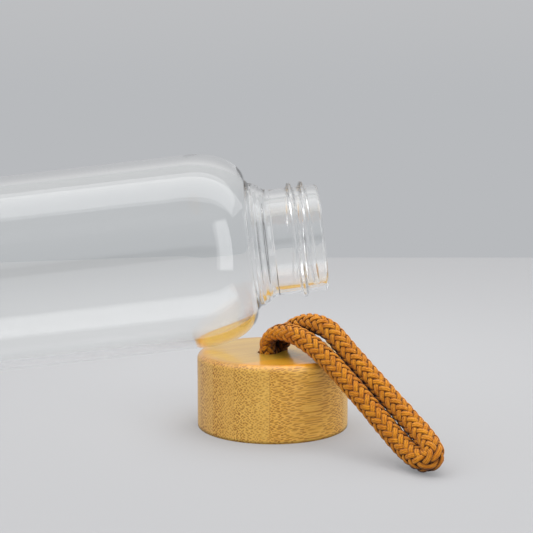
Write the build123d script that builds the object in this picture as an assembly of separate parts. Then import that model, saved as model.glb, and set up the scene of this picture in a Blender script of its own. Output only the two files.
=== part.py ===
from build123d import *
import os
from math import cos, radians, sin, sqrt, tan

# Glass water bottle with a bamboo screw cap, taken apart: the bottle lies on its side with its
# shoulder on the upturned edge of the cap, and the cap stands on the table with its rope loop
# hanging over the edge. Millimetres, +Z up, the table is z = 0, the bottle's axis is in y = 0.

# --- driving dimensions -----------------------------------------------------------------------
BOTTLE_LENGTH = 265.0
BODY_R = 32.25
WALL = 3.0
BASE_CORNER_R = 5.0
BASE_THICKNESS = 6.5
FLOOR_RISE = 2.2
FLOOR_CORNER_R = 7.0
PUNT_R = 20.0
PUNT_HEIGHT = 3.0
BOTTLE_TILT = 6.6

SHOULDER_START = 42.0
SHOULDER_RISE = 18.0
SHOULDER_R = 21.8
NECK_ROOT_R = 20.6
NECK_R = 17.6
NECK_BORE_R = 15.0
NECK_LENGTH = 16.4
LIP_R = 1.2
THROAT_R = 3.0
INNER_SHOULDER_DROP = 2.0
INNER_SHOULDER_RISE = 17.0

THREAD_PITCH = 4.0
THREAD_TURNS = 1.65
THREAD_HEIGHT = 1.6
THREAD_FOOT = 2.4
THREAD_CREST = 0.9
THREAD_ROOT = 0.4
THREAD_START = 10.6

CAP_R = 25.0
CAP_HEIGHT = 24.8
CAP_EDGE_R = 2.2
CAP_OFFSET_Y = -7.0
CAP_FROM_PIVOT = 238.4
FIBRE_ANGLE = 31.6
STRIP_WIDTH = 8.6
FIRST_SEAM = -20.7

INSERT_R = 21.0
INSERT_BORE_R = 19.6
INSERT_THREAD_HEIGHT = 1.3
INSERT_THREAD_START = 3.4
INSERT_HEIGHT = 17.0
INSERT_ROOF = 1.5
INSERT_RECESS = 0.4
SEAL_THICKNESS = 2.0
SEAL_BORE_R = 12.0
ANCHOR_R = 11.0
ANCHOR_THICKNESS = 3.0
GLUE_GAP = 0.05

ROPE_D = 6.2
ROPE_HOLE_WIDTH = 7.2
ROPE_HOLE_LENGTH = 13.6
ROPE_HOLE_ANGLE = 63.5

# --- places worked out from them ----------------------------------------------------------------
tilt = radians(BOTTLE_TILT)
ring_r = BODY_R - BASE_CORNER_R
base_reach = 2 * ring_r * sin(tilt) + BASE_CORNER_R
half_length = (base_reach + CAP_FROM_PIVOT + CAP_R) / 2
cap_x = half_length - CAP_R
pivot_x = cap_x - CAP_FROM_PIVOT
cap_place = Pos(cap_x, CAP_OFFSET_Y, 0)
bottle_turn = Rot(0, 90 - BOTTLE_TILT, 0)
bottle_place = Pos(pivot_x, 0, BASE_CORNER_R) * bottle_turn * Pos(-ring_r, 0, -BASE_CORNER_R)
insert_top = INSERT_RECESS + INSERT_HEIGHT
seal_top = insert_top - INSERT_ROOF
anchor_top = insert_top + ANCHOR_THICKNESS

# Route of the rope's centre line, measured from the cap's centre: out of the slot, over the cap's
# edge, down to a tight fold on the table and back up, so both strands leave the slot side by side.
ROPE_ROUTE = [
    (-1.4, -2.8, 20.4), (-1.4, -2.8, 24.4), (-2.0, -2.3, 28.4), (-0.6, -4.0, 32.3),
    (5.0, -9.8, 33.6), (13.0, -18.6, 29.6), (22.4, -29.8, 21.2), (31.2, -41.0, 12.2),
    (37.0, -49.6, 6.4), (41.3, -55.0, 3.3), (44.5, -56.6, 3.8), (47.0, -55.8, 6.1),
    (47.1, -53.2, 8.6), (44.2, -48.6, 11.4), (38.6, -41.6, 16.0), (31.2, -32.4, 22.4),
    (24.2, -23.0, 29.2), (17.8, -15.0, 35.8), (9.8, -6.4, 35.6), (4.2, 0.0, 30.4),
    (1.4, 2.8, 25.6), (1.4, 2.8, 20.4),
]


def save(node, part):
    """Write one sub-part to its own file."""
    part.label = node
    export_step(part, f"parts/{node}.step")


def thread_ridge(radius, base_z, height, start_angle):
    """A helical ridge; height is positive outwards from the radius and negative inwards."""
    path = Helix(THREAD_PITCH, THREAD_PITCH * THREAD_TURNS, radius)
    root = -THREAD_ROOT * height / abs(height)
    foot = THREAD_FOOT / 2
    crest = THREAD_CREST / 2
    outline = [(root, -foot), (height, -crest), (height, crest), (root, foot)]
    plane = Plane(origin=path @ 0, x_dir=(1, 0, 0), z_dir=path % 0)
    ridge = sweep(plane * make_face(Polyline(outline, close=True)), path=path, is_frenet=True)
    return Pos(0, 0, base_z) * Rot(0, 0, start_angle) * ridge


def shoulder_curve(top_r, body_r, base_z, rise):
    """Quarter of an ellipse from the straight body in to the foot of the neck, as a spline."""
    steps = [radians(15 * i) for i in range(7)]
    points = [(top_r + (body_r - top_r) * cos(a), base_z + rise * sin(a)) for a in steps]
    return Spline(points, tangents=[(0, 1), (-1, 0)])


def dome(edge_r, edge_z, rise):
    """Shallow spherical cap from the axis down to its edge, as an arc centred on the axis."""
    sphere_r = (edge_r ** 2 + rise ** 2) / (2 * rise)
    half_drop = sphere_r - sqrt(sphere_r ** 2 - (edge_r / 2) ** 2)
    return ThreePointArc((0, edge_z + rise), (edge_r / 2, edge_z + rise - half_drop), (edge_r, edge_z))


def bottle_profile():
    """Half section of the glass in X (radius) and Z (height above the base)."""
    shoulder_z = BOTTLE_LENGTH - SHOULDER_START
    root_z = shoulder_z + SHOULDER_RISE
    neck_z = BOTTLE_LENGTH - NECK_LENGTH
    inner_r = BODY_R - WALL
    inner_shoulder_z = shoulder_z - INNER_SHOULDER_DROP
    inner_end_r = NECK_BORE_R + THROAT_R
    inner_end_z = inner_shoulder_z + INNER_SHOULDER_RISE
    floor_corner = FLOOR_CORNER_R
    floor_edge = (inner_r - floor_corner, BASE_THICKNESS)
    slant = cos(radians(45))
    outline = [
        dome(PUNT_R, 0, PUNT_HEIGHT),
        Line((PUNT_R, 0), (ring_r, 0)),
        ThreePointArc((ring_r, 0), (ring_r + BASE_CORNER_R * slant, BASE_CORNER_R * (1 - slant)),
                      (BODY_R, BASE_CORNER_R)),
        Line((BODY_R, BASE_CORNER_R), (BODY_R, shoulder_z)),
        shoulder_curve(SHOULDER_R, BODY_R, shoulder_z, SHOULDER_RISE),
        ThreePointArc((SHOULDER_R, root_z), (NECK_ROOT_R + 0.3, root_z + 0.5), (NECK_ROOT_R, root_z + 1.4)),
        ThreePointArc((NECK_ROOT_R, root_z + 1.4), (NECK_ROOT_R - 0.9, root_z + 4.4), (NECK_R, neck_z)),
        Line((NECK_R, neck_z), (NECK_R, BOTTLE_LENGTH - LIP_R)),
        ThreePointArc((NECK_R, BOTTLE_LENGTH - LIP_R),
                      (NECK_R - LIP_R * (1 - slant), BOTTLE_LENGTH - LIP_R * (1 - slant)),
                      (NECK_R - LIP_R, BOTTLE_LENGTH)),
        Line((NECK_R - LIP_R, BOTTLE_LENGTH), (NECK_BORE_R + 0.6, BOTTLE_LENGTH)),
        ThreePointArc((NECK_BORE_R + 0.6, BOTTLE_LENGTH),
                      (NECK_BORE_R + 0.6 * (1 - slant), BOTTLE_LENGTH - 0.6 * (1 - slant)),
                      (NECK_BORE_R, BOTTLE_LENGTH - 0.6)),
        Line((NECK_BORE_R, BOTTLE_LENGTH - 0.6), (NECK_BORE_R, inner_end_z + THROAT_R)),
        ThreePointArc((NECK_BORE_R, inner_end_z + THROAT_R),
                      (inner_end_r - THROAT_R * slant, inner_end_z + THROAT_R * (1 - slant)),
                      (inner_end_r, inner_end_z)),
        shoulder_curve(inner_end_r, inner_r, inner_shoulder_z, INNER_SHOULDER_RISE),
        Line((inner_r, inner_shoulder_z), (inner_r, BASE_THICKNESS + floor_corner)),
        ThreePointArc((inner_r, BASE_THICKNESS + floor_corner),
                      (floor_edge[0] + floor_corner * slant, BASE_THICKNESS + floor_corner * (1 - slant)),
                      floor_edge),
        dome(floor_edge[0], BASE_THICKNESS, FLOOR_RISE),
        Line((0, BASE_THICKNESS + FLOOR_RISE), (0, PUNT_HEIGHT)),
    ]
    return make_face(Plane.XZ * Wire(outline))


def glass_bottle():
    """Thick-walled bottle with a short threaded neck, one piece of glass."""
    glass = revolve(bottle_profile(), axis=Axis.Z)
    ridge = thread_ridge(NECK_R, BOTTLE_LENGTH - THREAD_START, THREAD_HEIGHT, 90)
    return bottle_place * (glass + ridge)


def bamboo_shell():
    """The turned cap: a bore for the insert, a pocket for the rope's anchor and a slot for the rope."""
    blank = Cylinder(CAP_R, CAP_HEIGHT, align=(Align.CENTER, Align.CENTER, Align.MIN))
    blank = fillet(blank.edges().group_by(Axis.Z)[-1], CAP_EDGE_R)
    bore = Cylinder(INSERT_R + GLUE_GAP, insert_top, align=(Align.CENTER, Align.CENTER, Align.MIN))
    pocket = Pos(0, 0, insert_top) * Cylinder(
        ANCHOR_R + GLUE_GAP, ANCHOR_THICKNESS, align=(Align.CENTER, Align.CENTER, Align.MIN))
    slot = Rot(0, 0, ROPE_HOLE_ANGLE) * SlotOverall(ROPE_HOLE_LENGTH, ROPE_HOLE_WIDTH)
    rope_hole = Pos(0, 0, anchor_top) * extrude(slot, CAP_HEIGHT)
    return blank - bore - pocket - rope_hole


def bamboo_strips():
    """The shell cut along its glue lines into the laminated strips, from front to back."""
    shell = bamboo_shell()
    seams = [FIRST_SEAM + i * STRIP_WIDTH for i in range(6)]
    edges = [-CAP_R - 1] + seams + [CAP_R + 1]
    strips = []
    for low, high in zip(edges, edges[1:]):
        slab = Pos(0, (low + high) / 2, CAP_HEIGHT / 2) * Box(4 * CAP_R, high - low, 2 * CAP_HEIGHT)
        strips.append(cap_place * (shell & (Rot(0, 0, FIBRE_ANGLE) * slab)))
    return strips


def threaded_insert():
    """Moulded cup pressed into the bamboo, with the thread that takes the bottle's neck."""
    cup = Pos(0, 0, INSERT_RECESS) * Cylinder(
        INSERT_R, INSERT_HEIGHT, align=(Align.CENTER, Align.CENTER, Align.MIN))
    bore = Cylinder(INSERT_BORE_R, seal_top, align=(Align.CENTER, Align.CENTER, Align.MIN))
    ridge_base = INSERT_RECESS + INSERT_THREAD_START
    ridge = thread_ridge(INSERT_BORE_R, ridge_base, -INSERT_THREAD_HEIGHT, 0)
    return cap_place * ((cup - bore) + ridge)


def silicone_seal():
    """Flat ring under the insert's roof, which the bottle's lip presses on."""
    ring = Cylinder(INSERT_BORE_R - 0.2, SEAL_THICKNESS, align=(Align.CENTER, Align.CENTER, Align.MAX))
    ring -= Cylinder(SEAL_BORE_R, SEAL_THICKNESS, align=(Align.CENTER, Align.CENTER, Align.MAX))
    ring = chamfer(ring.edges().group_by(Axis.Z)[0], 0.3)
    return cap_place * Pos(0, 0, seal_top) * ring


def rope_anchor():
    """Puck of set glue that holds both ends of the rope above the insert."""
    puck = Cylinder(ANCHOR_R, ANCHOR_THICKNESS, align=(Align.CENTER, Align.CENTER, Align.MAX))
    puck = chamfer(puck.edges(), 0.4)
    return cap_place * Pos(0, 0, anchor_top) * puck


def rope_loop():
    """Braided rope as a plain tube along its route, and a print of its bend radii and length."""
    points = [Vector(*p) for p in ROPE_ROUTE]
    runs = [(b - a).length for a, b in zip(points, points[1:])]
    turns = [(b - a).get_angle(c - b) for a, b, c in zip(points, points[1:], points[2:])]
    reach = [0.45 * min(a, b) for a, b in zip(runs, runs[1:])]
    radii = [r / tan(radians(turn) / 2) for r, turn in zip(reach, turns)]
    path = FilletPolyline(points, radius=radii)
    section = Plane(origin=path @ 0, z_dir=path % 0) * Circle(ROPE_D / 2)
    tube = sweep(section, path=path)
    expected = section.area * path.length
    print("rope radii", [round(r, 1) for r in radii])
    print("rope length", round(path.length, 1), "volume", round(tube.volume), "expected", round(expected))
    return cap_place * tube


os.makedirs("parts", exist_ok=True)
save("glass_bottle", glass_bottle())
for number, strip in enumerate(bamboo_strips(), 1):
    save(f"bamboo_strip_{number}", strip)
save("threaded_insert", threaded_insert())
save("silicone_seal", silicone_seal())
save("rope_anchor", rope_anchor())
save("rope_loop", rope_loop())
print("cap centre x", round(cap_x, 3), "pivot x", round(pivot_x, 3), "half length", round(half_length, 3))
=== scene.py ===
from math import ceil, cos, pi, radians, sin

import bpy
from mathutils import Matrix, Vector


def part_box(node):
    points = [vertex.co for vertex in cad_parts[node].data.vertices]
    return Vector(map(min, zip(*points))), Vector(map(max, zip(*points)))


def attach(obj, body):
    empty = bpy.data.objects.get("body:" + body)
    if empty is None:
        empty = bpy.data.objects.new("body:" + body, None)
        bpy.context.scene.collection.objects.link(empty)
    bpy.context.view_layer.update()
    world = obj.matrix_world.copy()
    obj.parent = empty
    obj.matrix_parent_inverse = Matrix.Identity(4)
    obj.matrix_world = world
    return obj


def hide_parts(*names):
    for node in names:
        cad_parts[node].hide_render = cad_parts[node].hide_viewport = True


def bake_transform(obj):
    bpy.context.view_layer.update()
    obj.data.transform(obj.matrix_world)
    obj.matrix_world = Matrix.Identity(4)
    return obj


# Open glass water bottle leaning on its bamboo screw cap, whose rope loop lies on the table.
# Metres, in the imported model's frame. The table's top is z = 0.

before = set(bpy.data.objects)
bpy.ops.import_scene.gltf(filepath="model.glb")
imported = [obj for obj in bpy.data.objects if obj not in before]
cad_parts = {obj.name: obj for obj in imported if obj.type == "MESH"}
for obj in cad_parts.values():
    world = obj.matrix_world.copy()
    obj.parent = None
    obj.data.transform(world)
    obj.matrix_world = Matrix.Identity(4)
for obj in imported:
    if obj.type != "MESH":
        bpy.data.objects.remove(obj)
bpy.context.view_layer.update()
MM = 0.001


def middle(node):
    """Centre of a CAD node's box."""
    low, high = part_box(node)
    return (low + high) / 2


cap_centre = Vector((middle("threaded_insert").x, middle("threaded_insert").y, 0))

# --- camera -------------------------------------------------------------------------------------
CAMERA_FROM_CAP = Vector((-2.069, -376.546, 104.009)) * MM
CAMERA_PITCH = 7.731
LENS = 78.06


def make_camera():
    """The camera that looks along +Y at the cap, with its pitch downwards in degrees."""
    data = bpy.data.cameras.new("camera")
    data.sensor_width = 36
    data.lens = LENS
    data.clip_start = 0.01
    data.clip_end = 50
    camera = bpy.data.objects.new("camera", data)
    camera.location = cap_centre + CAMERA_FROM_CAP
    camera.rotation_euler = (radians(90 - CAMERA_PITCH), 0, 0)
    bpy.context.scene.collection.objects.link(camera)
    bpy.context.scene.camera = camera


# --- node helpers -------------------------------------------------------------------------------
OPENNESS_SAMPLES = 8


def srgb(red, green, blue):
    """A colour in 0 to 255 display values, as the linear values that a shader takes."""
    def linear(value):
        value /= 255
        return value / 12.92 if value <= 0.04045 else ((value + 0.055) / 1.055) ** 2.4
    return (linear(red), linear(green), linear(blue), 1)


def smooth(value, low, high):
    """0 at low, 1 at high, smooth between; low may be above high."""
    t = min(max((value - low) / (high - low), 0), 1)
    return t * t * (3 - 2 * t)


class Nodes:
    """The node tree of a material or a world, with one short call for each kind of node."""

    def __init__(self, owner, output="ShaderNodeOutputMaterial"):
        owner.use_nodes = True
        self.owner = owner
        self.tree = owner.node_tree
        self.tree.nodes.clear()
        self.output = self.tree.nodes.new(output)

    @classmethod
    def material(cls, name):
        return cls(bpy.data.materials.new(name))

    def put(self, socket, value):
        if isinstance(value, bpy.types.NodeSocket):
            self.tree.links.new(value, socket)
        elif value is not None:
            socket.default_value = value

    def math(self, operation, a, b=None, c=None):
        node = self.tree.nodes.new("ShaderNodeMath")
        node.operation = operation
        for socket, value in zip(node.inputs, (a, b, c)):
            self.put(socket, value)
        return node.outputs[0]

    def vector(self, operation, a, b=None, scale=None):
        node = self.tree.nodes.new("ShaderNodeVectorMath")
        node.operation = operation
        self.put(node.inputs[0], a)
        if operation == "SCALE":
            self.put(node.inputs["Scale"], scale)
        else:
            self.put(node.inputs[1], b)
        return node.outputs["Value" if operation == "DOT_PRODUCT" else "Vector"]

    def ramp(self, value, low, high):
        """0 below low, 1 above high, smooth between; low may be above high."""
        node = self.tree.nodes.new("ShaderNodeMapRange")
        node.interpolation_type = "SMOOTHSTEP"
        self.put(node.inputs["Value"], value)
        self.put(node.inputs["From Min"], low)
        self.put(node.inputs["From Max"], high)
        return node.outputs["Result"]

    def tinted(self, colour, tint):
        """The colour times a tint."""
        return self.mix(1.0, colour, tint, "MULTIPLY")

    def mix(self, share, a, b, blend="MIX"):
        node = self.tree.nodes.new("ShaderNodeMix")
        node.data_type = "RGBA"
        node.blend_type = blend
        self.put(node.inputs["Factor"], share)
        self.put(node.inputs["A"], a)
        self.put(node.inputs["B"], b)
        return node.outputs["Result"]

    def noise(self, place, scale, detail=2.0, roughness=0.5):
        node = self.tree.nodes.new("ShaderNodeTexNoise")
        self.put(node.inputs["Vector"], place)
        self.put(node.inputs["Scale"], scale)
        self.put(node.inputs["Detail"], detail)
        self.put(node.inputs["Roughness"], roughness)
        return node.outputs["Fac"]

    def voronoi(self, place, scale, randomness=1.0):
        """Distance to the nearest cell centre and the cell's colour, in the plane of x and y."""
        node = self.tree.nodes.new("ShaderNodeTexVoronoi")
        node.voronoi_dimensions = "2D"
        self.put(node.inputs["Vector"], place)
        self.put(node.inputs["Scale"], scale)
        self.put(node.inputs["Randomness"], randomness)
        return node.outputs["Distance"], node.outputs["Color"]

    def split(self, vector):
        node = self.tree.nodes.new("ShaderNodeSeparateXYZ")
        self.put(node.inputs[0], vector)
        return node.outputs

    def join(self, x, y, z):
        node = self.tree.nodes.new("ShaderNodeCombineXYZ")
        for socket, value in zip(node.inputs, (x, y, z)):
            self.put(socket, value)
        return node.outputs[0]

    def place(self):
        """The surface point in the row frame, in millimetres; every piece's own origin is the frame's."""
        node = self.tree.nodes.new("ShaderNodeTexCoord")
        return self.vector("SCALE", node.outputs["Object"], scale=1000.0)

    def normal(self):
        return self.tree.nodes.new("ShaderNodeNewGeometry").outputs["Normal"]

    def openness(self, distance):
        """1 on open surfaces, towards 0 in crevices narrower than distance (metres)."""
        node = self.tree.nodes.new("ShaderNodeAmbientOcclusion")
        node.samples = OPENNESS_SAMPLES
        self.put(node.inputs["Distance"], distance)
        return node.outputs["AO"]

    def uv(self, layer):
        node = self.tree.nodes.new("ShaderNodeUVMap")
        node.uv_map = layer
        return node.outputs["UV"]

    def shader(self, kind, colour):
        """A diffuse or emission shader of one colour."""
        node = self.tree.nodes.new(kind)
        self.put(node.inputs["Color"], colour)
        return node.outputs[0]

    def blend_shaders(self, share, a, b):
        node = self.tree.nodes.new("ShaderNodeMixShader")
        for socket, value in zip(node.inputs, (share, a, b)):
            self.put(socket, value)
        return node.outputs[0]

    def bump(self, height, distance, strength=1.0):
        """height is in units of distance, which is in metres."""
        node = self.tree.nodes.new("ShaderNodeBump")
        self.put(node.inputs["Height"], height)
        self.put(node.inputs["Distance"], distance)
        self.put(node.inputs["Strength"], strength)
        return node.outputs["Normal"]

    def surface(self, **values):
        """Principled shader; a value is a number, a colour or a socket, named as its input in lower case."""
        node = self.tree.nodes.new("ShaderNodeBsdfPrincipled")
        for name, value in values.items():
            self.put(node.inputs[name.replace("_", " ").title().replace("Ior", "IOR")], value)
        self.tree.links.new(node.outputs[0], self.output.inputs["Surface"])
        return self.owner


# --- rope ---------------------------------------------------------------------------------------
# The centre line's control points in millimetres from cap_centre: out of the slot, over the cap's
# edge, down to the tight fold on the table and back up.
ROPE_ROUTE = [
    (-1.4, -2.8, 20.4), (-1.4, -2.8, 24.4), (-1.9, -2.5, 28.0), (0.0, -4.7, 31.7),
    (5.4, -10.2, 33.1), (13.1, -18.2, 30.2), (23.15, -29.4, 21.15), (32.15, -39.2, 11.75),
    (38.9, -47.5, 4.95), (42.8, -54.2, 3.3), (46.5, -55.8, 5.1), (45.0, -50.2, 8.3),
    (40.6, -42.0, 12.3), (31.8, -31.8, 20.8), (22.9, -21.5, 29.6), (17.1, -14.9, 35.95),
    (9.7, -6.4, 35.4), (4.0, 0.2, 30.1), (1.4, 2.8, 25.6), (1.4, 2.8, 20.4),
]
CARRIERS = 8
BRAID_PITCH = 22.9 * MM
STRANDS_IN_YARN = 9
YARN_WIDTH = 1.82 * MM
YARN_THICKNESS = 1.05 * MM
YARN_SIDES = 10
YARN_OUT = 2.84 * MM
YARN_DIVE = 0.98 * MM
YARN_DRIFT = 0.10 * MM
YARN_UNEVEN = 0.07
CORE_SIDES = 12
CORE_RADIUS = 1.95 * MM
STEP = 0.36 * MM
FIRST_SIDE = radians(63.5)
# Distances from an end of the rope between which it is flattened; the second end uses BACK_PINCH.
PINCH_START = 2.0 * MM
PINCH_FULL = 7.0 * MM
PINCH_EASES = 15.0 * MM
PINCH_OVER = 26.0 * MM
BACK_PINCH = 13.0 * MM
PINCH_THIN = 0.66
PINCH_WIDE = 1.12


def rope_line():
    """Points of the rope's smooth centre line, STEP apart."""
    curve = bpy.data.curves.new("rope_route", "CURVE")
    curve.dimensions = "3D"
    curve.resolution_u = 24
    spline = curve.splines.new("NURBS")
    spline.points.add(len(ROPE_ROUTE) - 1)
    for point, place in zip(spline.points, ROPE_ROUTE):
        point.co = (*(cap_centre + Vector(place) * MM), 1)
    spline.order_u = 3
    spline.use_endpoint_u = True
    holder = bpy.data.objects.new("rope_route", curve)
    mesh = bpy.data.meshes.new_from_object(holder)
    rough = [v.co.copy() for v in mesh.vertices]
    bpy.data.objects.remove(holder)
    bpy.data.curves.remove(curve)
    bpy.data.meshes.remove(mesh)
    return evenly(rough, STEP)


def evenly(points, step):
    """The same line with points about step apart."""
    along = [0.0]
    for a, b in zip(points, points[1:]):
        along.append(along[-1] + (b - a).length)
    count = ceil(along[-1] / step)
    out, i = [], 0
    for n in range(count + 1):
        at = along[-1] * n / count
        while i < len(points) - 2 and along[i + 1] < at:
            i += 1
        share = (at - along[i]) / max(along[i + 1] - along[i], 1e-12)
        out.append(points[i].lerp(points[i + 1], share))
    return out


def rope_frames(line):
    """At each point: the direction, and two cross directions that turn as little as possible on the way."""
    side = Vector((cos(FIRST_SIDE), sin(FIRST_SIDE), 0))
    frames = []
    for i, point in enumerate(line):
        ahead = (line[min(i + 1, len(line) - 1)] - line[max(i - 1, 0)]).normalized()
        side = (side - ahead * side.dot(ahead)).normalized()
        frames.append((point, ahead, side.copy(), ahead.cross(side)))
    return frames


def pinch(at, total):
    """Scale of the section across and in the plane of the arch, where each end of the rope is flattened."""
    if at < total / 2:
        share = smooth(at, PINCH_START, PINCH_FULL) * smooth(at, PINCH_OVER, PINCH_EASES)
    else:
        share = sin(pi * min(max((total - at - PINCH_START) / BACK_PINCH, 0), 1)) ** 2
    return 1 + (PINCH_WIDE - 1) * share, 1 + (PINCH_THIN - 1) * share


def wander(at, which):
    """Smooth unevenness between about -1 and 1, different for each yarn."""
    return 0.6 * sin(at / (0.9 * MM) + 1.7 * which) + 0.5 * sin(at / (1.9 * MM) + 2.9 * which)


def yarn_place(frames, i, total, hand, number):
    """Centre of one yarn of the braid at step i, the outward direction there, and 0 (under) to 1 (over)."""
    point, ahead, side, other = frames[i]
    at = total * i / (len(frames) - 1)
    drift = wander(at, number + CARRIERS * (hand > 0))
    turned = hand * at / BRAID_PITCH + number / CARRIERS
    angle = 2 * pi * turned + drift * YARN_DRIFT / YARN_OUT
    beat = 2 * number + hand * 2 * CARRIERS * at / BRAID_PITCH
    wave = hand * cos(pi / 2 * (beat - 0.5))
    rise = 0.5 + 0.25 * wave * (3 - wave * wave)
    unevenness = 0.6 * YARN_DRIFT * wander(at + 5 * MM, 3 * number + hand)
    radius = YARN_OUT - YARN_DIVE * (1 - rise) + unevenness
    wide, thin = pinch(at, total)
    out = side * (cos(angle) * wide) + other * (sin(angle) * thin)
    return point + out * radius, out.normalized(), rise


class RopeMesh:
    """The points, faces and face corners' values of the rope's tubes, built ring by ring."""

    def __init__(self):
        self.verts, self.faces, self.uvs, self.rises = [], [], [], []

    def corners(self, uvs, rises):
        self.uvs += uvs
        self.rises += rises

    def sides(self, base, sides, i, uvs_of, rises_of):
        """The ring of faces from ring i to the next."""
        a, b = base + i * sides, base + (i + 1) * sides
        for k in range(sides):
            k2 = (k + 1) % sides
            self.faces.append((a + k, a + k2, b + k2, b + k))
            self.corners(uvs_of(i, k), rises_of(i))

    def caps(self, base, sides, last):
        """A flat face at each end."""
        self.faces.append(tuple(base + k for k in reversed(range(sides))))
        self.faces.append(tuple(base + last * sides + k for k in range(sides)))
        self.corners([(0, 0)] * (2 * sides), [(0, 0)] * (2 * sides))


def add_yarn(mesh, frames, total, hand, number):
    """One of the braid's yarns, a tube of elliptical section."""
    last = len(frames) - 1
    places = [yarn_place(frames, i, total, hand, number) for i in range(last + 1)]
    base = len(mesh.verts)
    for i, (centre, out, _) in enumerate(places):
        along = (places[min(i + 1, last)][0] - places[max(i - 1, 0)][0]).normalized()
        across = along.cross(out).normalized()
        up = across.cross(along)
        width = YARN_WIDTH * (1 + YARN_UNEVEN * wander(i * STEP, 5 * number + 2 * hand))
        for k in range(YARN_SIDES):
            a = 2 * pi * k / YARN_SIDES
            mesh.verts.append(centre + across * (cos(a) * width / 2) + up * (sin(a) * YARN_THICKNESS / 2))
    own_u = 10 * (number + CARRIERS * (hand > 0))
    tone = (7 * number + 3 * (hand > 0)) % (2 * CARRIERS) / (2 * CARRIERS)

    def uvs_of(i, k):
        u, u2 = k / YARN_SIDES + own_u, (k + 1) / YARN_SIDES + own_u
        v, v2 = i * STEP / MM, (i + 1) * STEP / MM
        return [(u, v), (u2, v), (u2, v2), (u, v2)]

    def rises_of(i):
        near, far = places[i][2], places[i + 1][2]
        return [(near, tone), (near, tone), (far, tone), (far, tone)]

    for i in range(last):
        mesh.sides(base, YARN_SIDES, i, uvs_of, rises_of)
    mesh.caps(base, YARN_SIDES, last)


def add_core(mesh, frames, total):
    """The rope's core inside the braid; its dark colour is painted shade where it shows between the yarns.
    """
    last = len(frames) - 1
    base = len(mesh.verts)
    for i, (point, _, side, other) in enumerate(frames):
        wide, thin = pinch(total * i / last, total)
        for k in range(CORE_SIDES):
            a = 2 * pi * k / CORE_SIDES
            out = side * (cos(a) * wide) + other * (sin(a) * thin)
            mesh.verts.append(point + out * CORE_RADIUS)
    for i in range(last):
        mesh.sides(base, CORE_SIDES, i, lambda i, k: [(0, 0)] * 4, lambda i: [(0, 0)] * 4)
    mesh.caps(base, CORE_SIDES, last)


def make_rope():
    line = rope_line()
    frames = rope_frames(line)
    total = sum((b - a).length for a, b in zip(line, line[1:]))
    mesh = RopeMesh()
    for hand in (1, -1):
        for number in range(CARRIERS):
            add_yarn(mesh, frames, total, hand, number)
    yarn_faces = len(mesh.faces)
    add_core(mesh, frames, total)
    rope = new_mesh("braided_rope", mesh.verts, mesh.faces, mesh.uvs)
    layer = rope.data.uv_layers.new(name="Rise")
    layer.data.foreach_set("uv", [x for pair in mesh.rises for x in pair])
    rope.data.materials.append(yarn_material())
    rope.data.materials.append(core_shade_material())
    for face in rope.data.polygons[yarn_faces:]:
        face.material_index = 1
    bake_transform(rope)
    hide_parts("rope_loop")


def new_mesh(name, verts, faces, uvs=None):
    """A smooth-shaded mesh object in the scene."""
    data = bpy.data.meshes.new(name)
    data.from_pydata([tuple(v) for v in verts], [], faces)
    if uvs:
        layer = data.uv_layers.new(name="UVMap")
        layer.data.foreach_set("uv", [x for uv in uvs for x in uv])
    data.update()
    data.polygons.foreach_set("use_smooth", [True] * len(data.polygons))
    piece = bpy.data.objects.new(name, data)
    bpy.context.scene.collection.objects.link(piece)
    return piece


YARN_DARK = srgb(189, 107, 11)
YARN_LIGHT = srgb(222, 145, 27)
YARN_BROWN = srgb(172, 98, 20)
YARN_FLECK = srgb(128, 66, 8)
# painted shade for the grooves between strands
YARN_GROOVE_SHADE = srgb(112, 56, 6)
YARN_HAIR = srgb(228, 156, 52)
YARN_SHADE = srgb(84, 38, 4)
# painted shade in the narrow crevices between yarns: reach and tint
CREVICE = 3.5 * MM
CREVICE_SHADE_TINT = (0.34, 0.27, 0.2, 1)
# painted shade in the hollow under the rope's arch: reach and tint
HOLLOW = 16 * MM
HOLLOW_SHADE_TINT = (0.14, 0.08, 0.05, 1)


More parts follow.
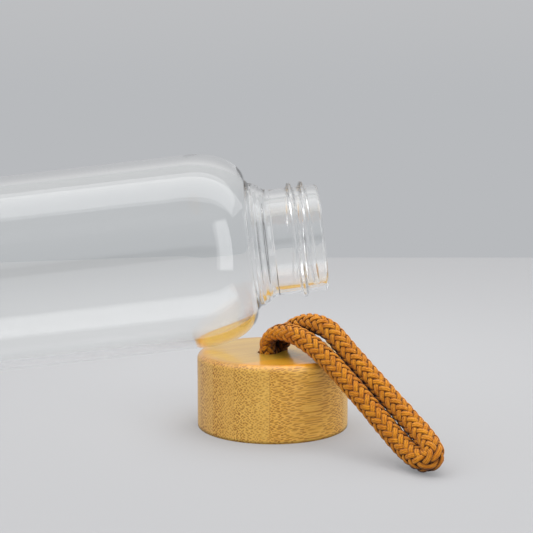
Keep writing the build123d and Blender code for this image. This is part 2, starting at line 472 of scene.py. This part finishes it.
def yarn_material():
    """Honey-brown cotton: strands side by side in each yarn, with painted shade where it dives, at its
    edges, in the grooves between strands, in crevices and in the hollow under the arch.
    """
    n = Nodes.material("rope_yarn")
    around, along, _ = n.split(n.uv("UVMap"))
    rise, tone, _ = n.split(n.uv("Rise"))
    wobble = n.noise(n.join(n.math("MULTIPLY", around, 3.0), n.math("MULTIPLY", along, 0.5), 0.0), 1.0, 2.0)
    turn = 2 * pi * STRANDS_IN_YARN
    strands = n.math("SINE", n.math("MULTIPLY_ADD", around, turn, n.math("MULTIPLY", wobble, 5.0)))
    hair_place = n.join(n.math("MULTIPLY", around, 40.0), n.math("MULTIPLY", along, 1.4), tone)
    hairs = n.noise(hair_place, 1.0, 3.0, 0.6)
    edge = n.math("ABSOLUTE", n.math("COSINE", n.math("MULTIPLY", around, 2 * pi)))
    shade = n.math("MULTIPLY", n.ramp(edge, 1.0, 0.72), n.ramp(rise, 0.1, 0.8))
    patch = n.noise(n.place(), 0.4, 2.0, 0.5)
    fleck = n.noise(n.place(), 2.6, 3.0, 0.7)
    base = n.mix(n.ramp(patch, 0.25, 0.75), YARN_DARK, YARN_LIGHT)
    base = n.mix(n.math("MULTIPLY", tone, 0.4), base, YARN_BROWN)
    base = n.mix(n.math("MULTIPLY", n.ramp(fleck, 0.5, 0.7), 0.5), base, YARN_FLECK)
    # painted shade in the grooves between the strands of each yarn
    base = n.mix(n.math("MULTIPLY", n.ramp(strands, 0.0, -0.9), 0.6), base, YARN_GROOVE_SHADE)
    base = n.mix(n.math("MULTIPLY", n.ramp(hairs, 0.45, 0.65), 0.6), base, YARN_HAIR)
    # painted shade: darker where the yarn dives under its neighbours and towards its two edges
    base = n.mix(n.math("MULTIPLY_ADD", shade, -0.7, 0.7), base, YARN_SHADE)
    # painted shade in narrow crevices, from an occlusion value
    base = n.mix(n.ramp(n.openness(CREVICE), 0.75, 0.1), base, n.tinted(base, CREVICE_SHADE_TINT))
    # painted shade in the hollow under the arch and other wide recesses
    base = n.mix(n.ramp(n.openness(HOLLOW), 0.48, 0.12), base, n.tinted(base, HOLLOW_SHADE_TINT))
    height = n.math("ADD", n.math("MULTIPLY_ADD", strands, 0.5, hairs), fleck)
    return n.surface(base_color=base, roughness=0.9, specular_ior_level=0.2, sheen_weight=0.1,
                     normal=n.bump(height, 0.09 * MM, 1.0))


def core_shade_material():
    """Dark brown painted shade, for what shows between the yarns."""
    n = Nodes.material("rope_core_shade")
    shade = n.noise(n.place(), 2.0, 3.0)
    base = n.mix(shade, srgb(60, 28, 6), srgb(88, 44, 12))
    return n.surface(base_color=base, roughness=0.95, normal=n.bump(shade, 0.1 * MM))


# --- glass --------------------------------------------------------------------------------------
# In the bottle's own frame, in millimetres: its axis is Z and its base is at 0. TILT is how far the
# axis is from level when the bottle leans on the cap.
BOTTLE_LENGTH = 265.0
BODY_R = 32.25
BASE_CORNER_R = 5.0
PUNT_R = 20.0
PUNT_HEIGHT = 3.0
TILT = radians(6.6)
WALL = 3.0
SHOULDER_Z = BOTTLE_LENGTH - 42.0
SHOULDER_TOP_R = 21.8
SHOULDER_RISE = 18.0
ROOT_R = 20.6
ROOT_RISE = 1.4
RIPPLE = 0.12
RIPPLE_STEPS = 30
RIPPLE_PERIOD = 12
NECK_R = 17.6
NECK_LENGTH = 16.4
NECK_STEP = 0.15
NECK_BORE_R = 15.0
LIP_R = 1.2
LIP_INNER_R = 0.6
THROAT_R = 18.6
INNER_SHOULDER_Z = SHOULDER_Z - 2.0
INNER_SHOULDER_RISE = 19.0
FLOOR_THICKNESS = 6.5
FLOOR_CORNER_R = 7.0
FLOOR_RISE = 2.2
THREAD_PITCH = 4.0
THREAD_TURNS = 1.65
THREAD_HEIGHT = 1.6
THREAD_Z = BOTTLE_LENGTH - 10.6
THREAD_FOOT = 1.25
THREAD_FLANK = 0.85
THREAD_TAPER = 0.09
AROUND = 224


def arc(centre, radius, start, end, steps):
    """Points of a circle's arc in (radius, height), angles in degrees from the radius axis."""
    angles = [radians(start + (end - start) * i / steps) for i in range(steps + 1)]
    return [(centre[0] + radius * cos(a), centre[1] + radius * sin(a)) for a in angles]


def straight(a, b, steps):
    """Points between a and b, without those two."""
    return [(a[0] + (b[0] - a[0]) * i / steps, a[1] + (b[1] - a[1]) * i / steps) for i in range(1, steps)]


def quarter(top_r, body_r, z, rise, steps):
    """Elliptical shoulder from the body's side in to the foot of the neck."""
    angles = [pi / 2 * i / steps for i in range(steps + 1)]
    return [(top_r + (body_r - top_r) * cos(a), z + rise * sin(a)) for a in angles]


def turn_in(a, b, steps):
    """Smooth step from a to b in (radius, height) that starts and ends along the axis."""
    shares = [i / steps for i in range(1, steps + 1)]
    return [(a[0] + (b[0] - a[0]) * t * t * (3 - 2 * t), a[1] + (b[1] - a[1]) * t) for t in shares]


def bowl(radius, low, rise, steps):
    """Parabola that climbs from its edge at low by rise to the axis, without its two ends."""
    shares = [i / steps for i in range(1, steps)]
    return [(radius * (1 - t), low + rise * (1 - (1 - t) ** 2)) for t in shares]


def outer_outline():
    """The outside in (radius, height), from beside the axis out and up to the lip."""
    root_z = SHOULDER_Z + SHOULDER_RISE
    neck_z = BOTTLE_LENGTH - NECK_LENGTH
    line = list(reversed(bowl(PUNT_R, 0, PUNT_HEIGHT, 8))) + [(PUNT_R, 0.0)]
    line += straight((PUNT_R, 0), (BODY_R - BASE_CORNER_R, 0), 4)
    line += arc((BODY_R - BASE_CORNER_R, BASE_CORNER_R), BASE_CORNER_R, -90, 0, 10)
    line += straight((BODY_R, BASE_CORNER_R), (BODY_R, SHOULDER_Z), 24)
    line += quarter(SHOULDER_TOP_R, BODY_R, SHOULDER_Z, SHOULDER_RISE, 26)
    line += turn_in((SHOULDER_TOP_R, root_z), (ROOT_R, root_z + ROOT_RISE), 8)
    foot = turn_in((ROOT_R, root_z + ROOT_RISE), (NECK_R, neck_z), RIPPLE_STEPS)
    line += [(r + ripple(i), h) for i, (r, h) in enumerate(foot, 1)]
    line += [(NECK_R, neck_z + NECK_STEP * i) for i in range(int((NECK_LENGTH - LIP_R) / NECK_STEP))]
    return line + arc((NECK_R - LIP_R, BOTTLE_LENGTH - LIP_R), LIP_R, 0, 90, 6)


def ripple(i):
    """Faint waves in the foot of the neck, which fade out at its two ends."""
    return RIPPLE * sin(pi * i / RIPPLE_STEPS) * sin(2 * pi * i / RIPPLE_PERIOD)


def inner_outline():
    """The inside in (radius, height), from the lip down and in to beside the axis."""
    inner_r = BODY_R - WALL
    neck_z = BOTTLE_LENGTH - NECK_LENGTH
    throat_z = INNER_SHOULDER_Z + INNER_SHOULDER_RISE
    corner_z = FLOOR_THICKNESS + FLOOR_CORNER_R
    line = arc((NECK_BORE_R + LIP_INNER_R, BOTTLE_LENGTH - LIP_INNER_R), LIP_INNER_R, 90, 180, 4)
    line += straight((NECK_BORE_R, BOTTLE_LENGTH - LIP_INNER_R), (NECK_BORE_R, neck_z), 10)
    line += turn_in((NECK_BORE_R, neck_z), (THROAT_R, throat_z), 16)
    line += list(reversed(quarter(THROAT_R, inner_r, INNER_SHOULDER_Z, INNER_SHOULDER_RISE, 26)))[1:]
    line += straight((inner_r, INNER_SHOULDER_Z), (inner_r, corner_z), 24)
    line += arc((inner_r - FLOOR_CORNER_R, corner_z), FLOOR_CORNER_R, 0, -90, 12)
    return line + bowl(inner_r - FLOOR_CORNER_R, FLOOR_THICKNESS, FLOOR_RISE, 8)


def thread_rise(height, angle):
    """How far the thread stands out of the neck at a height and an angle, in millimetres."""
    best = 0.0
    for turn in range(3):
        turned = angle / (2 * pi) + turn
        if 0 <= turned <= THREAD_TURNS:
            ends = smooth(min(turned, THREAD_TURNS - turned), 0, THREAD_TAPER)
            away = abs(height - THREAD_Z - THREAD_PITCH * turned)
            side = smooth(away, THREAD_FOOT, THREAD_FOOT - THREAD_FLANK)
            best = max(best, THREAD_HEIGHT * ends * side)
    return best


def bottle_matrix():
    """From the bottle's own frame to the row frame, where it leans with its base's edge on the table."""
    box_low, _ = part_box("glass_bottle")
    ring_r = BODY_R - BASE_CORNER_R
    pivot = Vector((box_low.x / MM + 2 * ring_r * sin(TILT) + BASE_CORNER_R, 0, BASE_CORNER_R))
    turn = Matrix.Rotation(pi / 2 - TILT, 4, "Y")
    to_pivot = Matrix.Translation((-ring_r, 0, -BASE_CORNER_R))
    return Matrix.Scale(MM, 4) @ Matrix.Translation(pivot) @ turn @ to_pivot


def make_glass():
    rings = outer_outline() + inner_outline()
    place = bottle_matrix()
    verts = [place @ Vector((0, 0, PUNT_HEIGHT))]
    for radius, height in rings:
        on_neck = radius >= NECK_R - 0.01 and -NECK_LENGTH < height - BOTTLE_LENGTH < -LIP_R
        for k in range(AROUND):
            angle = 2 * pi * k / AROUND
            lift = thread_rise(height, (angle - pi / 2) % (2 * pi)) if on_neck else 0.0
            r = radius + lift
            verts.append(place @ Vector((r * cos(angle), r * sin(angle), height)))
    verts.append(place @ Vector((0, 0, FLOOR_THICKNESS + FLOOR_RISE)))
    end = len(verts) - 1
    inmost = 1 + (len(rings) - 1) * AROUND
    faces = []
    for k in range(AROUND):
        k2 = (k + 1) % AROUND
        faces.append((0, 1 + k2, 1 + k))
        for i in range(len(rings) - 1):
            a, b = 1 + i * AROUND, 1 + (i + 1) * AROUND
            faces.append((a + k, a + k2, b + k2, b + k))
        faces.append((inmost + k, inmost + k2, end))
    glass = new_mesh("clear_bottle", verts, faces)
    glass.data.materials.append(glass_material())
    glass.visible_shadow = False
    glass.visible_diffuse = False
    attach(glass, "bottle")
    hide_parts("glass_bottle")


def glass_material():
    """Clear glass with a faint cold tint."""
    n = Nodes.material("clear_glass")
    return n.surface(base_color=(0.985, 0.992, 0.99, 1), roughness=0.0, ior=1.5, transmission_weight=1.0)


# --- bamboo -------------------------------------------------------------------------------------
# Lengths are in millimetres. A list has one value for each strip, and a pair of numbers is where a
# change of colour starts and where it is complete.
FIBRE_ANGLE = radians(31.6)
FIRST_SEAM = -20.7
STRIP_WIDTH = 8.6
STRIP_LIGHT = [srgb(234, 184, 88), srgb(232, 188, 96), srgb(230, 184, 96), srgb(226, 182, 100),
               srgb(224, 180, 92), srgb(228, 184, 86), srgb(218, 172, 84)]
STRIP_DARK = [srgb(216, 162, 62), srgb(216, 166, 72), srgb(212, 162, 72), srgb(206, 158, 78),
              srgb(208, 158, 66), srgb(210, 160, 60), srgb(200, 148, 58)]
DOT_STRENGTH = [0.8, 0.88, 0.95, 0.95, 0.9, 0.9, 0.85]
DOTS_PER_MM = [1.1, 0.98, 0.86, 0.78, 0.9, 1.0, 1.0]
BUNDLE_BROWN = srgb(142, 80, 12)
FINE_BROWN = srgb(160, 104, 36)
SEAM_BROWN = srgb(126, 78, 32)
SEAM_HALF_WIDTH = (0.16, 0.02)
BROAD_TINT = (0.93, 0.9, 0.85, 1)
# painted shade along the cap's foot, between these heights, and its tint
SHADED_FOOT = (1.1, 0.2)
FOOT_SHADE_TINT = (0.42, 0.42, 0.3, 1)
RIM_BROWN = srgb(206, 126, 10)
RIM_FROM_AXIS = (20.6, 22.6)
# painted light on the upward faces, toned apart from the sides for how light falls on them; orange on the
# two front strips as a painted reflection of the rope above
TOP_LIGHT_AND_REFLECTION_TINT = [(1.14, 0.9, 0.16, 1), (0.98, 0.81, 0.26, 1)] + [(0.76, 0.77, 0.37, 1)] * 5
RIM_SHARE = [0.1, 0.15] + [0.24] * 5
SIDE_LACQUER = 0.12


def bamboo_material(number):
    """One strip of lacquered bamboo: bundles run along it, as dots on the end grain and dashes elsewhere;
    its upward faces carry painted light and a painted reflection of the rope, and its foot painted shade.
    """
    n = Nodes.material(f"bamboo_{number + 1}")
    x, y, z = n.split(n.vector("SUBTRACT", n.place(), tuple(cap_centre / MM)))
    c, s = cos(FIBRE_ANGLE), sin(FIBRE_ANGLE)
    along = n.math("ADD", n.math("MULTIPLY", x, c), n.math("MULTIPLY", y, s))
    across = n.math("SUBTRACT", n.math("MULTIPLY", y, c), n.math("MULTIPLY", x, s))
    _, _, nz = n.split(n.normal())
    start = FIRST_SEAM + (number - 1) * STRIP_WIDTH
    depth = n.math("DIVIDE", n.math("SUBTRACT", across, start), STRIP_WIDTH)
    seed = 37.0 * number

    def grain(stretch, squash=1.0):
        """A place in the wood that changes slowly along the fibre."""
        return n.join(n.math("MULTIPLY_ADD", along, stretch, seed), across, n.math("MULTIPLY", z, squash))

    wander_across = n.math("MULTIPLY_ADD", n.noise(grain(0.3), 0.5, 1.0), 1.8, -0.9)
    wander_up = n.math("MULTIPLY_ADD", n.noise(grain(0.2, 1.1), 0.5, 1.0), 0.8, -0.4)
    a = n.math("ADD", across, wander_across)
    b = n.math("ADD", z, wander_up)
    distance, cell = n.voronoi(n.join(n.math("ADD", a, b), n.math("SUBTRACT", a, b), 0.0),
                               DOTS_PER_MM[number], 0.5)
    cell_tone, _, _ = n.split(cell)
    dense = n.ramp(depth, 0.0, 1.0)
    size = n.math("MULTIPLY_ADD", dense, 0.08, 0.24)
    dots = n.math("MULTIPLY", n.ramp(distance, n.math("ADD", size, 0.16), n.math("SUBTRACT", size, 0.06)),
                  n.math("MULTIPLY_ADD", cell_tone, 0.4, 0.6))
    dots = n.math("MULTIPLY", dots, n.math("MULTIPLY_ADD", dense, 0.35, 0.65))
    streak = n.noise(grain(0.035), 1.9, 4.0, 0.62)
    fine = n.noise(grain(0.12), 7.0, 2.0, 0.6)
    broad = n.noise(grain(0.05, 0.6), 0.22, 2.0)
    base = n.mix(n.ramp(streak, 0.3, 0.7), STRIP_DARK[number], STRIP_LIGHT[number])
    base = n.mix(n.ramp(broad, 0.3, 0.75), n.tinted(base, BROAD_TINT), base)
    upward = n.ramp(nz, 0.55, 0.99)
    from_axis = n.math("SQRT", n.math("ADD", n.math("MULTIPLY", x, x), n.math("MULTIPLY", y, y)))
    rim = n.math("MULTIPLY", n.ramp(nz, 0.25, 0.8), n.ramp(from_axis, *RIM_FROM_AXIS))
    rim_share = n.math("MULTIPLY_ADD", n.ramp(streak, 0.35, 0.6), RIM_SHARE[number], RIM_SHARE[number])
    base = n.mix(n.math("MULTIPLY", rim, rim_share), base, RIM_BROWN)
    # painted light and painted reflection of the rope on the upward faces
    base = n.mix(upward, base, n.tinted(base, TOP_LIGHT_AND_REFLECTION_TINT[number]))
    strength = n.math("MULTIPLY_ADD", n.ramp(nz, 0.8, 0.995), -0.75, DOT_STRENGTH[number])
    shown = n.math("MULTIPLY", dots, strength)
    base = n.mix(shown, base, BUNDLE_BROWN)
    # painted shade along the bottom edge of the cap, where it stands on the table
    base = n.mix(n.ramp(z, *SHADED_FOOT), base, n.tinted(base, FOOT_SHADE_TINT))
    base = n.mix(n.math("MULTIPLY", n.ramp(fine, 0.55, 0.8), 0.3), base, FINE_BROWN)
    edge = n.math("MINIMUM", n.math("ABSOLUTE", n.math("SUBTRACT", across, start)),
                  n.math("ABSOLUTE", n.math("SUBTRACT", across, start + STRIP_WIDTH)))
    base = n.mix(n.math("MULTIPLY", n.ramp(edge, *SEAM_HALF_WIDTH), 0.2), base, SEAM_BROWN)
    rough = n.math("MULTIPLY_ADD", streak, 0.16, 0.34)
    height = n.math("SUBTRACT", fine, n.math("MULTIPLY", shown, 0.6))
    lacquer = n.math("MULTIPLY_ADD", n.ramp(nz, 0.15, 0.7), 1 - SIDE_LACQUER, SIDE_LACQUER)
    return n.surface(base_color=base, roughness=rough, specular_ior_level=0.35, coat_weight=lacquer,
                     coat_roughness=0.14, normal=n.bump(height, 0.03 * MM, 0.6))


GRAIN_TINT = (0.92, 0.92, 0.92, 1)


def plastic_material(name, colour, roughness, translucent=0.0):
    """Moulded plastic or rubber with a fine grain."""
    n = Nodes.material(name)
    grain = n.noise(n.place(), 6.0, 2.0)
    base = n.mix(grain, colour, n.tinted(colour, GRAIN_TINT))
    return n.surface(base_color=base, roughness=roughness, subsurface_weight=translucent,
                     normal=n.bump(grain, 0.01 * MM))


def glue_material():
    """Yellowish set glue with a lumpy surface."""
    n = Nodes.material("set_glue")
    lumps = n.noise(n.place(), 0.9, 2.0)
    base = n.mix(lumps, srgb(206, 186, 138), srgb(230, 214, 170))
    return n.surface(base_color=base, roughness=0.45, normal=n.bump(lumps, 0.15 * MM))


def dress_cap():
    """Materials for the cap's CAD parts, which keep their own shapes."""
    for number in range(len(STRIP_LIGHT)):
        give(f"bamboo_strip_{number + 1}", bamboo_material(number))
    give("threaded_insert", plastic_material("insert_plastic", srgb(232, 232, 228), 0.38))
    give("silicone_seal", plastic_material("silicone", srgb(240, 240, 236), 0.55, 0.2))
    give("rope_anchor", glue_material())


def give(node, material):
    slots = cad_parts[node].data.materials
    slots.clear()
    slots.append(material)


# --- studio -------------------------------------------------------------------------------------
FLOOR_HALF = 6.0
GREY_START_MM = 429.0
GREY_BLUR_MM = 4.0
WALL_GREY = srgb(184, 186, 189)
UPPER_WALL_GREY = srgb(190, 191, 193)
CEILING_GREY = (0.85, 0.85, 0.85, 1)
BEHIND_GREY = (0.16, 0.16, 0.16, 1)
TABLE_WHITE = (0.468, 0.47, 0.480, 1)
TABLE_GLOW = 0.36
LIGHT_BOUNCES = 32
GLOSSY_BOUNCES = 16


def make_floor():
    """White table that turns into the grey backdrop's colour far behind the bottle."""
    h = FLOOR_HALF
    floor_piece = new_mesh("floor", [(-h, -h, 0), (h, -h, 0), (h, h, 0), (-h, h, 0)], [(0, 1, 2, 3)])
    n = Nodes.material("table")
    _, y, _ = n.split(n.place())
    far = n.ramp(y, GREY_START_MM - GREY_BLUR_MM, GREY_START_MM + GREY_BLUR_MM)
    lit = n.shader("ShaderNodeBsdfDiffuse", TABLE_WHITE)
    glow = n.shader("ShaderNodeEmission", TABLE_WHITE)
    grey = n.shader("ShaderNodeEmission", WALL_GREY)
    both = n.blend_shaders(far, n.blend_shaders(TABLE_GLOW, lit, glow), grey)
    n.tree.links.new(both, n.output.inputs["Surface"])
    floor_piece.data.materials.append(n.owner)


def make_world():
    """Grey studio walls, lighter towards the ceiling and dark low down behind the camera."""
    world = bpy.data.worlds.new("studio")
    n = Nodes(world, "ShaderNodeOutputWorld")
    _, y, z = n.split(n.tree.nodes.new("ShaderNodeTexCoord").outputs["Generated"])
    wall = n.mix(n.ramp(z, 0.0, 0.12), WALL_GREY, UPPER_WALL_GREY)
    light = n.mix(n.ramp(z, 0.3, 0.95), wall, CEILING_GREY)
    behind = n.math("MULTIPLY", n.ramp(y, -0.75, -0.92), n.ramp(z, 0.3, 0.12))
    sky = n.shader("ShaderNodeBackground", n.mix(behind, light, BEHIND_GREY))
    n.tree.links.new(sky, n.output.inputs["Surface"])
    bpy.context.scene.world = world


def area_light(name, place, aim, width, height, radiance, mirrored=True, lighting=True):
    """A soft box of width by height metres, facing aim, with both places measured from the cap.

    Glass and lacquer show it if mirrored, and it lights matt surfaces if lighting.
    """
    data = bpy.data.lights.new(name, "AREA")
    data.shape = "RECTANGLE"
    data.size = width
    data.size_y = height
    data.energy = radiance * pi * width * height
    light = bpy.data.objects.new(name, data)
    light.location = cap_centre + Vector(place)
    light.rotation_euler = (Vector(aim) - Vector(place)).to_track_quat("-Z", "Y").to_euler()
    light.visible_camera = False
    light.visible_glossy = mirrored
    light.visible_transmission = mirrored
    light.visible_diffuse = lighting
    bpy.context.scene.collection.objects.link(light)


def make_lights():
    area_light("overhead", (0.0, 0.02, 0.8), (0.0, 0.02, 0.0), 1.8, 0.53, 1.6)
    area_light("back_right", (0.45, 0.75, 0.85), (0, 0, 0), 0.5, 0.5, 2.2, mirrored=False)
    area_light("left", (-0.9, -0.5, 0.5), (0, 0, 0.02), 0.8, 0.8, 0.8, mirrored=False)
    area_light("front", (0.15, -0.9, 0.5), (0, 0, 0.02), 0.8, 0.5, 1.9, mirrored=False)
    area_light("right", (0.62, -0.42, 0.2), (-0.05, 0, 0.06), 0.4, 0.8, 1.7, mirrored=False)
    area_light("spot", (0.0, 0.10, 0.21), (0.0, 0.10, 0.0), 0.13, 0.13, 2.2, mirrored=False)
    area_light("strip", (0.115, -0.15, 0.11), (-0.01, 0, 0.09), 0.085, 0.215, 2.0, lighting=False)


make_camera()
make_rope()
make_glass()
dress_cap()
make_floor()
make_world()
make_lights()
bpy.context.scene.view_settings.view_transform = "Standard"
bpy.context.scene.cycles.max_bounces = LIGHT_BOUNCES
bpy.context.scene.cycles.transmission_bounces = LIGHT_BOUNCES
bpy.context.scene.cycles.glossy_bounces = GLOSSY_BOUNCES
